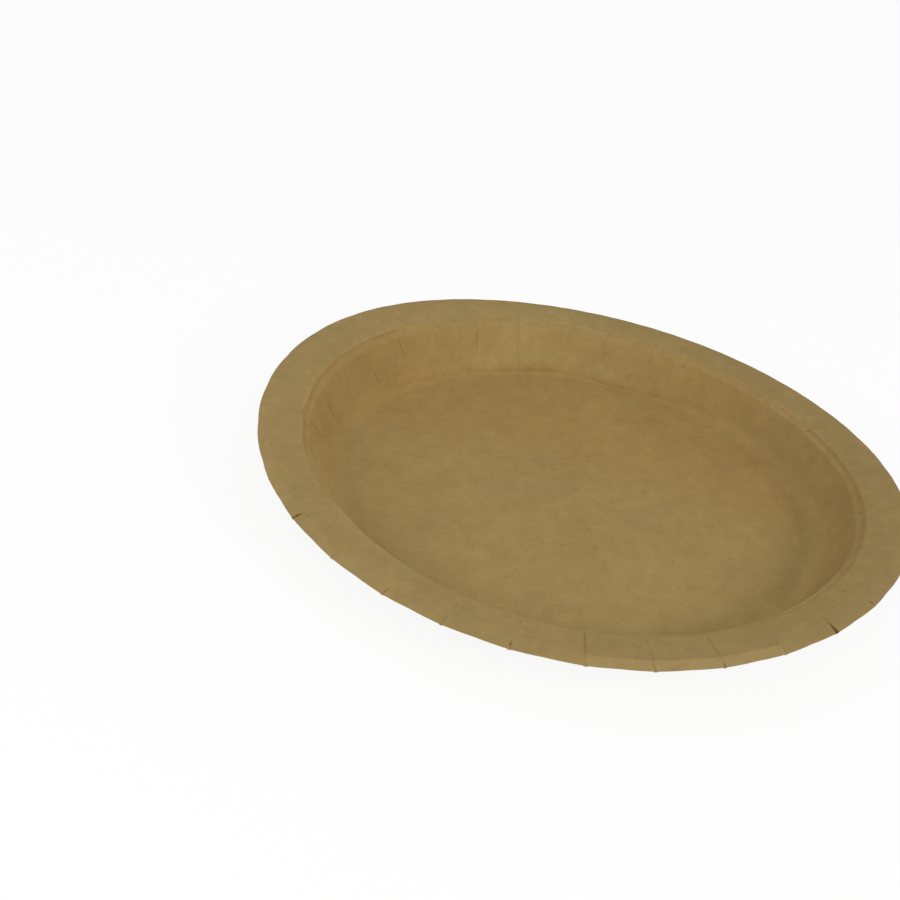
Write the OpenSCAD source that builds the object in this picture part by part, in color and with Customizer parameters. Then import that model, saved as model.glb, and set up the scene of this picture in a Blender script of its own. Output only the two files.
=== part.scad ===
// Press-formed kraft board plate: one scored disc of board, drawn into a shallow well with a
// brim and a turned-down lip. Millimetres, +Z up, origin at the centre of the underside.

/* [Plate] */
// Diameter over the lip
plate_d = 230; // [180:1:320]
// Height from the table to the crown of the lip
plate_h = 19; // [15:0.5:26]
// Width of the brim with its lip, from the mouth of the well to the edge of the plate
brim_w = 14.4; // [10:0.1:22]
// Thickness of the board
board_t = 0.5; // [0.4:0.05:0.8]

/* [Well] */
// Slope of the wall above the table, in degrees
wall_angle = 61; // [50:1:72]
// Inside radius between the floor and the wall
foot_r = 9; // [5:0.5:12]

/* [Shoulder] */
// Inside radius of each bend of the step between the wall and the brim
bend_r = 0.8; // [0.6:0.05:1.2]
// Slope of the ledge that the wall runs out on, in degrees
ledge_angle = 8; // [2:1:16]
// Length of that ledge
ledge_w = 0.9; // [0.4:0.1:1.8]
// Slope of the riser from the ledge up to the brim, in degrees
riser_angle = 60; // [45:1:75]
// Length of that riser
riser_w = 0.7; // [0.3:0.1:1.4]

/* [Brim and lip] */
// Rise of the brim towards the lip, in degrees
brim_angle = 5; // [1:0.5:10]
// Inside radius of the bend into the lip
lip_r = 1.2; // [0.8:0.1:2]
// Slope of the lip below the horizontal, in degrees
lip_angle = 60; // [30:1:80]
// Length of the lip past its bend
lip_w = 0.6; // [0.3:0.1:2]

/* [Pleats] */
// Number of pleats that gather the spare board round the wall and the brim
pleats = 33; // [24:1:48]
// Turn of the ring of pleats about the plate's axis, in degrees
pleat_turn = 3.9; // [0:0.1:10]
// Width of the score line down the middle of each pleat, at the edge of the plate
score_w = 0.5; // [0.3:0.05:0.7]
// Depth of the score line in the upper face
score_depth = 0.25; // [0.1:0.01:0.3]
// How far the gathered board stands out under each pleat
lap_t = 0.3; // [0.15:0.05:0.4]

/* [Hidden] */
sides_per_pleat = 4;
$fn = pleats * sides_per_pleat;

rim_r = plate_d / 2;
mouth_r = rim_r - brim_w;
// Largest turn of one step round a bend of the section, in degrees, and its least length
bend_step = 11;
bend_chord = 0.5;
// How far the score's cutter reaches clear of the board
clear = 0.5;

// The section is a path of runs, followed along the upper face from the floor's edge to the lip.
// A run is [length, 0] where it is straight and [radius, turn] where it bends, with the turn in
// degrees and upward turns positive.
function sum(list, k = 0) = list[k] + (k < len(list) - 1 ? sum(list, k + 1) : 0 * list[k]);
function before(path, k) = [for (i = [0:1:k - 1]) path[i]];
function heading(path, a) = sum(concat([a], [for (run = path) run[1]]));
function run_move(run, a) = let (b = a + run[1])
    run[1] == 0
    ? run[0] * [cos(a), sin(a)]
    : sign(run[1]) * run[0] * [sin(b) - sin(a), cos(a) - cos(b)];
function path_move(path, a) = sum(concat(
    [[0, 0]],
    [for (k = [0:1:len(path) - 1]) run_move(path[k], heading(before(path, k), a))]
));

// Runs of the upper face. A bend that is crowned above has the board's thickness added, so that
// its lower face keeps the stated radius.
crown_r = bend_r + board_t;
lip_crown_r = lip_r + board_t;
foot = [foot_r, wall_angle];
wall_top = [crown_r, ledge_angle - wall_angle];
ledge = [ledge_w, 0];
riser_foot = [bend_r, riser_angle - ledge_angle];
riser = [riser_w, 0];
mouth = [crown_r, brim_angle - riser_angle];
lip_rise = [lip_crown_r, -brim_angle];
lip_fall = [lip_crown_r, -lip_angle];
lip = [lip_w, 0];

// The brim is as long as its width asks, and the wall as long as the height asks.
shoulder = [wall_top, ledge, riser_foot, riser, mouth];
lip_side = [lip_rise, lip_fall, lip];
brim = [(brim_w - path_move(lip_side, brim_angle)[0]) / cos(brim_angle), 0];
rise_beside_wall = path_move([foot], 0)[1]
    + path_move(shoulder, wall_angle)[1]
    + path_move([brim, lip_rise], brim_angle)[1];
wall = [(plate_h - board_t - rise_beside_wall) / sin(wall_angle), 0];
well_side = concat([foot, wall], shoulder);
floor_r = mouth_r - path_move(well_side, 0)[0];
profile = concat(well_side, [brim], lip_side);

// The points of a path, each as [radius, height, heading].
function run_length(run) = run[1] == 0 ? run[0] : run[0] * abs(run[1]) * PI / 180;
function steps(run) = ceil(min(max(1, abs(run[1]) / bend_step), run_length(run) / bend_chord));
function part_of(run, share) = run[1] == 0 ? [run[0] * share, 0] : [run[0], run[1] * share];
function points_of(path) = concat(
    [[floor_r, board_t, 0]],
    [for (k = [0:len(path) - 1])
        let (
            a = heading(before(path, k), 0),
            start = [floor_r, board_t] + path_move(before(path, k), 0)
        )
        for (i = [1:steps(path[k])])
            let (
                piece = part_of(path[k], i / steps(path[k])),
                point = start + run_move(piece, a)
            )
            [point[0], point[1], a + piece[1]]]
);

// The same points moved down square to the board, each by its own depth.
function sunk(points, depths) = [for (k = [0:len(points) - 1])
    [points[k][0] + depths[k] * sin(points[k][2]), points[k][1] - depths[k] * cos(points[k][2])]];
function level(points, depth) = sunk(points, [for (p = points) depth]);
function backwards(list) = [for (k = [len(list) - 1:-1:0]) list[k]];
// A pleat grows from nothing at the floor's edge to its full depth at the top of the foot. The
// first share is below nothing, so that the pleat dies out in the board's face.
function grown(points, depth) = let (full = steps(foot))
    [for (k = [0:len(points) - 1]) depth * min(1, (2 * k - 1) / (2 * full - 1))];

board_line = points_of(profile);
score_line = points_of(concat(profile, [[clear, 0]]));

// The flat disc is wider than the plate, and the pleats take up the difference. A fold lies
// twice over the board beside it, so each lap is half as wide as what it gathers.
blank_r = floor_r + sum([for (run = profile) run_length(run)]);
lap_w = PI * (blank_r - rim_r) / pleats;
function angle_of(width) = 180 / PI * width / rim_r;

// One slice for each pleat, of the shape between two lines of the section.
module pleat_slices(width, upper, lower) {
    for (k = [0:pleats - 1])
        rotate(k * 360 / pleats - angle_of(width) / 2)
            rotate_extrude(angle = angle_of(width))
                polygon(concat(upper, backwards(lower)));
}

module board() {
    rotate_extrude()
        polygon(concat(
            [[0, board_t]],
            level(board_line, 0),
            backwards(level(board_line, board_t)),
            [[0, 0]]
        ));
}

// The board gathered under each pleat, as a low rib on the lower face.
module laps() {
    below = [for (depth = grown(board_line, lap_t)) board_t + depth];
    pleat_slices(lap_w, level(board_line, board_t / 2), sunk(board_line, below));
}

// The cutter for the score lines in the upper face, out through the lip.
module scores() {
    pleat_slices(score_w, level(score_line, -clear), sunk(score_line, grown(score_line, score_depth)));
}

module plate() {
    color("#9a8256")
        rotate(pleat_turn)
            difference() {
                union() {
                    board();
                    laps();
                }
                scores();
            }
}

plate();
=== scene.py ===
"""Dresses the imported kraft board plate: the pressed sheet with its pleats, its board, and its studio.

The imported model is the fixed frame, in metres, with the plate level and its underside on the floor.
The sheet is modelled again here at full detail, with each pleat as its own fold, and stands for the
plate's plain solid.
"""

import logging
import math
import random
from collections.abc import Sequence
from dataclasses import dataclass, field
from enum import Enum, IntEnum
from functools import cached_property, reduce

import bmesh
import bpy
from mathutils import Matrix, Vector, noise

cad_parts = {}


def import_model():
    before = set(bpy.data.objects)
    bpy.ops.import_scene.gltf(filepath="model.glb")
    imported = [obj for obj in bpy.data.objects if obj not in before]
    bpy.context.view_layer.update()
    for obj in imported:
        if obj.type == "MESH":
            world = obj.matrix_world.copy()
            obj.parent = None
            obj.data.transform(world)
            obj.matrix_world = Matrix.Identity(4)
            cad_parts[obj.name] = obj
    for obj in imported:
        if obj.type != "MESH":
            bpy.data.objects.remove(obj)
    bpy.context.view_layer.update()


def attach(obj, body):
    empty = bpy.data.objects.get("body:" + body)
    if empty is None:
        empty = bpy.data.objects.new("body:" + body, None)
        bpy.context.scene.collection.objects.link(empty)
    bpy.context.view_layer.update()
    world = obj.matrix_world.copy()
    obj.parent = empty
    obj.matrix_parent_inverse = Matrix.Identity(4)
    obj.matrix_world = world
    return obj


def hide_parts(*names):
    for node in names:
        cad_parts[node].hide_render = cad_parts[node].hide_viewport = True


MM = 0.001
FULL_TURN = 2 * math.pi

BMesh = bmesh.types.BMesh
Socket = bpy.types.NodeSocket
Pair = tuple[float, float]
Triple = tuple[float, float, float]
Rows = tuple[tuple[float, ...], ...]

log = logging.getLogger("plate")


def smooth(low: float, high: float, value: float) -> float:
    """Eased share of the way from low to high, held at 0 and 1 outside them.

    Args:
        low: where the share leaves 0.
        high: where it reaches 1.
        value: the value that is placed between them.

    Returns:
        The share, from 0 to 1.
    """
    share = min(1.0, max(0.0, (value - low) / (high - low)))
    return share * share * (3 - 2 * share)


def window(low: float, high: float, ease: float, value: float) -> float:
    """Share that is 1 between low and high and eases to 0 over the given length outside them.

    Args:
        low: start of the full stretch.
        high: end of the full stretch.
        ease: length over which the share rises and falls.
        value: the value that is tested.

    Returns:
        The share, from 0 to 1.
    """
    return smooth(low - ease, low, value) * (1 - smooth(high, high + ease, value))


def along(points: Sequence[Pair], value: float) -> float:
    """Value of a line through points in order, level past both ends.

    Args:
        points: places and values, in rising order of place.
        value: the place that is asked for.

    Returns:
        The value there.
    """
    if value <= points[0][0]:
        return points[0][1]
    for (a, low), (b, high) in zip(points, points[1:]):
        if value <= b:
            return low + (high - low) * (value - a) / (b - a) if b > a else high
    return points[-1][1]


def put_in_scene(name: str, data: bpy.types.ID) -> bpy.types.Object:
    """Puts a mesh, light or camera in the scene as an object.

    Args:
        name: the object's name.
        data: what it holds.

    Returns:
        The new object.
    """
    made = bpy.data.objects.new(name, data)
    bpy.context.scene.collection.objects.link(made)
    return made


class Face(Enum):
    """Which face of the board a point of the section lies on."""

    UPPER = 0
    LOWER = 1


class Stretch(IntEnum):
    """The runs of the section's upper face, from the floor's edge to the cut edge."""

    FOOT = 0
    WALL = 1
    WALL_BEND = 2
    LEDGE = 3
    RISER_BEND = 4
    RISER = 5
    MOUTH_BEND = 6
    BRIM = 7
    LIP_RISE = 8
    LIP_BEND = 9
    LIP = 10


@dataclass(frozen=True)
class Run:
    """One run of the section: straight for a turn of 0, and otherwise an arc."""

    size: float
    turn: float
    parts: int
    parts_below: int

    @property
    def length(self) -> float:
        """Length of the run along the upper face."""
        return self.size * math.radians(abs(self.turn)) if self.turn else self.size


@dataclass(frozen=True)
class Section:
    """Sizes of the pressed section, the same as the solid's, in metres and degrees."""

    plate_d: float = 230 * MM
    floor_r: float = 83.206 * MM
    board_t: float = 0.5 * MM
    foot_r: float = 9 * MM
    wall_angle: float = 61
    wall_w: float = 11.82 * MM
    bend_r: float = 0.8 * MM
    ledge_angle: float = 8
    ledge_w: float = 0.9 * MM
    riser_angle: float = 60
    riser_w: float = 0.7 * MM
    brim_angle: float = 5
    brim_w: float = 12.527 * MM
    lip_r: float = 1.2 * MM
    lip_angle: float = 60
    lip_w: float = 0.6 * MM
    crown_height: float = 19 * MM

    @property
    def rim_r(self) -> float:
        """Radius over the lip."""
        return self.plate_d / 2

    @property
    def lip_drop(self) -> float:
        """Height of the lip's crown over the upper corner of the cut edge."""
        fall = math.radians(self.lip_angle)
        return (self.lip_r + self.board_t) * (1 - math.cos(fall)) + self.lip_w * math.sin(fall)

    def place(self, station: float) -> Triple:
        """Point of the plain turned section's upper face.

        Args:
            station: length along the section from the floor's edge, below 0 on the floor.

        Returns:
            Radius and height in metres, and heading in radians.
        """
        radius, height, heading, left = self.floor_r, self.board_t, 0.0, station
        if station <= 0:
            return radius + station, height, heading
        for run in self.runs:
            part = min(left, run.length)
            if run.turn:
                side = math.copysign(1, run.turn)
                turned = heading + side * part / run.size
                radius += side * run.size * (math.sin(turned) - math.sin(heading))
                height += side * run.size * (math.cos(heading) - math.cos(turned))
                heading = turned
            else:
                radius += part * math.cos(heading)
                height += part * math.sin(heading)
            left -= part
            if left <= 0:
                break
        return radius, height, heading

    @cached_property
    def runs(self) -> list[Run]:
        """The runs of the upper face in the order of Stretch, with their edges above and below.

        Returns:
            The runs.
        """
        crown = self.bend_r + self.board_t
        lip_crown = self.lip_r + self.board_t
        return [
            Run(self.foot_r, self.wall_angle, 10, 6),
            Run(self.wall_w, 0, 12, 6),
            Run(crown, self.ledge_angle - self.wall_angle, 5, 3),
            Run(self.ledge_w, 0, 2, 1),
            Run(self.bend_r, self.riser_angle - self.ledge_angle, 4, 3),
            Run(self.riser_w, 0, 1, 1),
            Run(crown, self.brim_angle - self.riser_angle, 5, 3),
            Run(self.brim_w, 0, 14, 14),
            Run(lip_crown, -self.brim_angle, 1, 1),
            Run(lip_crown, -self.lip_angle, 7, 7),
            Run(self.lip_w, 0, 2, 2),
        ]

    def end_of(self, stretch: Stretch) -> float:
        """Length along the upper face from the floor's edge to the end of a run."""
        return sum(run.length for run in self.runs[: stretch + 1])

    @cached_property
    def foot_top(self) -> float:
        """Station of the foot's upper end."""
        return self.end_of(Stretch.FOOT)

    @cached_property
    def wall_top(self) -> float:
        """Station of the wall's upper end."""
        return self.end_of(Stretch.WALL)

    @cached_property
    def mouth(self) -> float:
        """Station of the brim's inner end."""
        return self.end_of(Stretch.MOUTH_BEND)

    @cached_property
    def edge(self) -> float:
        """Station of the cut edge."""
        return self.end_of(Stretch.LIP)


# The creases that stand out on the wall with the shoulder, and on the brim, by pleat. Each row is a point on
# a crease, as the values of a Knot. A knot's strength sets the groove's depth and how dark the crease is
# painted: partly the crushed fibres' own colour, partly painted shade in the crease.
WALL_CREASES: dict[int, Rows] = {
    0: ((23.8, 0.5, -1.25, 1.3), (24.6, 0.5, -1.25, 1.3)),
    1: ((23.9, 0.4, -1.5, 1.3), (24.7, 0.4, -1.5, 1.3)),
    2: ((23.9, 0.4, -1.0, 1.3), (24.7, 0.4, -1.0, 1.3)),
    3: ((23.4, 0.62, -1.25, 1.4), (24.6, 0.62, -1.25, 1.4)),
    4: ((23.8, 0.38, -1.0, 1.6), (24.8, 0.38, -1.0, 1.6)),
    5: ((20.0, 0.25, -1.0), (24.6, 0.3, -0.5)),
    6: ((16.4, 0.4, -0.75, 1.5), (17.6, 0.22, -0.6), (20.2, 0.25, -0.5), (25.0, 0.2, -0.6),
        (29.0, 0.06, -0.75)),
    7: ((17.1, 0.18, -0.5, 1.2), (22.0, 0.26, -0.2, 1.2), (28.1, 0.14, 0.25)),
    8: ((14.0, 0.28, 0.25, 1.3), (19.1, 0.3, 1.0, 1.2), (21.9, 0.38, 0.5, 1.3), (26.6, 0.3, 0.1, 1.2),
        (27.4, 0.55, 0.0, 1.6)),
    9: ((9.8, 0.15, 0.25), (14.0, 0.2, 0.4, 1.2), (17.5, 0.25, 0.5, 1.2), (21.6, 0.25, 0.7),
        (22.2, 0.5, 0.75, 1.6), (23.0, 0.2, 0.6), (27.6, 0.08, 0.25)),
    10: ((6.9, 0.15, 0.25), (10.0, 0.35, 0.3), (14.4, 0.22, 0.5, 1.2), (22.4, 0.22, 0.7, 1.2),
        (23.0, 0.4, 0.75, 1.5), (24.4, 0.22, 0.5), (26.7, 0.45, 0.2, 1.5), (29.4, 0.2, -0.25)),
    11: ((10.8, 0.2, 1.0), (13.5, 0.22, 0.9, 1.2), (16.0, 0.62, 0.8, 1.9), (18.6, 0.55, 0.7, 1.9),
        (20.5, 0.22, 0.5, 1.2), (23.3, 0.2, 0.25)),
    12: ((15.7, 0.3, 1.5), (20.2, 0.35, 1.25)),
    13: ((9.1, 0.05, 0.0), (12.0, 0.17, 0.3, 1.2), (15.7, 0.55, 0.75, 2.1), (18.5, 0.65, 1.1, 1.7),
        (21.1, 0.42, 1.5)),
    14: ((10.2, 0.55, -0.25), (12.4, 0.6, 0.2), (14.5, 0.5, 0.25)),
    15: ((10.0, 0.2, 0.0), (15.0, 0.25, 0.0)),
    16: ((11.6, 0.65, 0.0), (14.0, 0.9, 0.3), (16.2, 0.8, 0.5)),
    17: ((12.0, 0.6, -0.75), (15.0, 0.95, 0.2), (18.4, 0.8, 1.25)),
    31: ((22.6, 0.4, -1.5, 1.2), (24.0, 0.4, -1.5, 1.2)),
    32: ((24.6, 0.32, -2.2, 1.3), (25.6, 0.32, -2.2, 1.3)),
}
# The strongest knots on the brim paint the shade at the open ends of pleats 20 and 29.
BRIM_CREASES: dict[int, Rows] = {
    12: ((25.6, 0.5, 0.75, 1.3), (26.5, 0.5, 0.75, 1.3)),
    18: ((38.8, 0.3, 0.0), (40.2, 0.35, 0.0)),
    19: ((34.0, 0.15, -0.75), (38.0, 0.2, -0.75), (39.5, 0.35, -0.75)),
    20: ((36.6, 0.5, -1.0, 1.2), (38.6, 1.6, -1.0, 1.6), (41.2, 2.2, -1.0, 1.8)),
    21: ((38.3, 0.4, 0.0, 1.2), (40.2, 0.62, 0.0, 1.2)),
    22: ((37.4, 0.46, 0.5, 1.2), (40.0, 0.64, 0.5, 1.2)),
    23: ((26.6, 0.06, 0.0), (28.6, 0.1, 0.1), (30.0, 0.45, 0.0, 1.6), (31.2, 0.1, -0.1),
        (35.0, 0.15, 0.0), (37.6, 0.06, 0.1), (38.8, 0.36, 0.0, 1.7), (39.4, 0.36, 0.0, 1.5)),
    24: ((26.2, 0.2, 0.3, 1.3), (27.6, 0.5, 0.1, 1.7), (29.2, 0.15, 0.0), (31.5, 0.06, 0.0),
        (36.4, 0.05, 0.0), (37.7, 0.5, 0.0, 1.6), (39.1, 1.05, 0.0, 2.2), (40.3, 0.7, 0.0, 1.7)),
    25: ((26.0, 0.3, 0.5, 1.3), (27.4, 0.45, 0.5, 1.6), (32.0, 0.5, 0.6, 1.7), (34.8, 0.32, 0.7, 1.3),
        (36.0, 0.15, 0.8), (39.6, 0.12, 1.0), (41.0, 0.5, 1.0)),
    26: ((26.2, 0.25, 0.2, 1.2), (28.6, 0.12, 0.1), (32.0, 0.2, 0.0), (36.1, 0.3, 0.0),
        (37.8, 0.45, -0.4, 1.5), (38.6, 1.0, -0.5, 2.4), (39.5, 0.35, -0.2), (41.2, 0.65, 0.0, 1.2)),
    27: ((26.0, 0.2, 0.5), (29.0, 0.33, 0.3, 1.2), (35.0, 0.33, 0.1, 1.2), (38.5, 0.35, 0.0),
        (41.2, 1.3, 0.0, 1.3)),
    28: ((34.9, 0.35, 0.0, 1.8), (36.0, 0.35, 0.0, 1.8), (38.0, 0.38, 0.0, 1.2), (41.0, 0.52, 0.0, 1.2)),
    29: ((33.6, 0.22, 1.75), (35.4, 0.5, 1.5, 1.1), (37.4, 1.1, 1.2, 1.1), (41.2, 2.4, 0.6, 1.4)),
    30: ((27.3, 0.65, -0.5, 1.3), (29.9, 1.15, 0.2, 1.4), (31.2, 0.3, 0.6), (38.4, 0.35, 1.25),
        (39.1, 1.7, 1.25, 1.5), (39.8, 1.7, 1.25, 1.5)),
}
# Pleats whose outer end stands open, with the length and the width of the gap in millimetres.
OPEN_ENDS: dict[int, Pair] = {20: (2.6, 0.3), 29: (5.0, 0.9)}


@dataclass(frozen=True)
class Knot:
    """A point on a crease, in millimetres: its station, strength, sideways place and share of width."""

    station: float
    strength: float
    side: float = 0.0
    width: float = 1.0


@dataclass
class Pleat:
    """One pleat of the ring: the creases that show on it, its width, lean and slit.

    A wave of its line is its length, its share and how much of the pleat's phase it takes.
    """

    number: int
    creases: list[tuple[Knot, ...]]
    width: float
    lean: float
    wander: float
    phase: float
    slit: float = 0.0
    opening: float = 0.0

    ease: float = 0.9 * MM
    uneven: float = 0.5
    uneven_size: float = 2.2 * MM
    waves: Rows = ((3.1 * MM, 1.0, 1.0), (1.3 * MM, 0.6, 2.3))
    known: dict[float, Pair] = field(default_factory=dict)

    def _on(self, crease: tuple[Knot, ...], station: float) -> Pair:
        """How one crease shows at a station.

        Args:
            crease: its points.
            station: length along the section from the floor's edge.

        Returns:
            Its strength, and its share of the pleat's width.
        """
        shown = window(crease[0].station * MM, crease[-1].station * MM, self.ease, station)
        if not shown:
            return 0.0, 1.0
        strength = along([(knot.station * MM, knot.strength) for knot in crease], station)
        return shown * strength, along([(knot.station * MM, knot.width) for knot in crease], station)

    def look(self, station: float) -> Pair:
        """How the pleat shows at a station.

        Args:
            station: length along the section from the floor's edge.

        Returns:
            Its strength, from 0 to 1, and its half width in metres.
        """
        if station not in self.known:
            strength, share = max((self._on(crease, station) for crease in self.creases), default=(0.0, 1.0))
            wave = noise.noise(Vector((station / self.uneven_size, self.phase, self.number)))
            self.known[station] = (strength * max(0.0, 1 + self.uneven * wave), self.width * share)
        return self.known[station]

    @cached_property
    def line(self) -> list[Pair]:
        """Station and sideways place of every knot of the pleat, in metres."""
        return sorted((knot.station * MM, knot.side * MM) for crease in self.creases for knot in crease)

    def drift(self, station: float) -> float:
        """How far the pleat strays sideways at a station.

        Args:
            station: length along the section from the floor's edge.

        Returns:
            The distance, in metres.
        """
        wave = sum(share * math.sin(station / size + turn * self.phase) for size, share, turn in self.waves)
        return along(self.line, station) + self.wander * wave

    def open_share(self, station: float, edge: float) -> float:
        """How far the slit stands open at a station: 0 where it starts and 1 at the cut edge."""
        return max(0.0, (station - edge + self.slit) / self.slit) if self.slit else 0.0


@dataclass
class PleatRing:
    """The ring of pleats: their number and place, and how each one shows.

    The pairs are ranges that a pleat's own value is drawn from, with lengths in millimetres.
    """

    count: int = 33
    turn: float = 3.9
    seed: int = 33
    usual_start: Pair = (8, 13)
    usual_end: Pair = (17, 25)
    usual_strength: Pair = (0.2, 0.5)
    faint_strength: Pair = (0.02, 0.08)
    lean: Pair = (0.02, 0.07)
    width: Pair = (0.24, 0.32)
    wander: Pair = (0.02, 0.07)
    brim_start: float = 27
    brim_end: float = 40

    def pleats(self) -> list[Pleat]:
        """Every pleat of the ring, with seeded creases where none stands out.

        Returns:
            The pleats, in order round the plate.
        """
        rng = random.Random(self.seed)
        made = []
        for number in range(self.count):
            low, high = rng.uniform(*self.usual_start), rng.uniform(*self.usual_end)
            strong, faint = rng.uniform(*self.usual_strength), rng.uniform(*self.faint_strength)
            lean = rng.choice((-1, 1)) * rng.uniform(*self.lean) * MM
            width = rng.uniform(*self.width) * MM
            wander, phase = rng.uniform(*self.wander) * MM, rng.uniform(0, FULL_TURN)
            rows = (
                WALL_CREASES.get(number, ((low, strong), (high, strong))),
                BRIM_CREASES.get(number, ((self.brim_start, faint), (self.brim_end, faint))),
            )
            creases = [tuple(Knot(*row) for row in crease) for crease in rows]
            slit, opening = (size * MM for size in OPEN_ENDS.get(number, (0.0, 0.0)))
            made.append(Pleat(number, creases, width, lean, wander, phase, slit, opening))
        return made

    def angle(self, number: int) -> float:
        """Angle of a pleat round from +X, in radians."""
        return math.radians(self.turn) + number * self.spacing

    @property
    def spacing(self) -> float:
        """Angle from one pleat to the next, in radians."""
        return FULL_TURN / self.count


@dataclass(frozen=True)
class Warp:
    """The slow bend of the pressed sheet.

    A wave round the rim is its count, and its cosine and sine in metres.
    """

    rise: Rows = (
        (2, 1.69 * MM, -1.96 * MM),
        (3, -0.10 * MM, 0.20 * MM),
        (4, 0.06 * MM, -0.34 * MM),
    )
    spread: Rows = (
        (2, 0.33 * MM, 0.31 * MM),
        (3, -0.40 * MM, 0.18 * MM),
        (4, 0.26 * MM, 0.25 * MM),
    )
    at_mouth: float = 0.75
    power: float = 1.3
    floor_wave: float = 0.28 * MM
    floor_wave_size: float = 42 * MM

    @staticmethod
    def _wave(waves: Rows, angle: float) -> float:
        """Sum of the waves at an angle."""
        return sum(c * math.cos(n * angle) + s * math.sin(n * angle) for n, c, s in waves)

    def lift(self, angle: float, weight: float) -> float:
        """Rise of the sheet at an angle, for a weight of 0 at the floor and 1 at the edge."""
        return weight * self._wave(self.rise, angle)

    def outward(self, angle: float, weight: float) -> float:
        """Outward move of the sheet at an angle, for a weight of 0 at the floor and 1 at the edge."""
        return weight * self._wave(self.spread, angle)

    def floor(self, place: Vector, weight: float) -> float:
        """Rise of the floor's slow unevenness at a place, never below the table."""
        value = noise.noise(Vector((place.x, place.y, 0)) / self.floor_wave_size)
        return weight * self.floor_wave * (0.5 + 0.5 * value)


@dataclass(frozen=True)
class ColumnForm:
    """The shares of the foot's fold, the shoulder's step and the folded rim at one angle in degrees."""

    angle: float
    fold: float
    step: float
    folded: float


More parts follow.
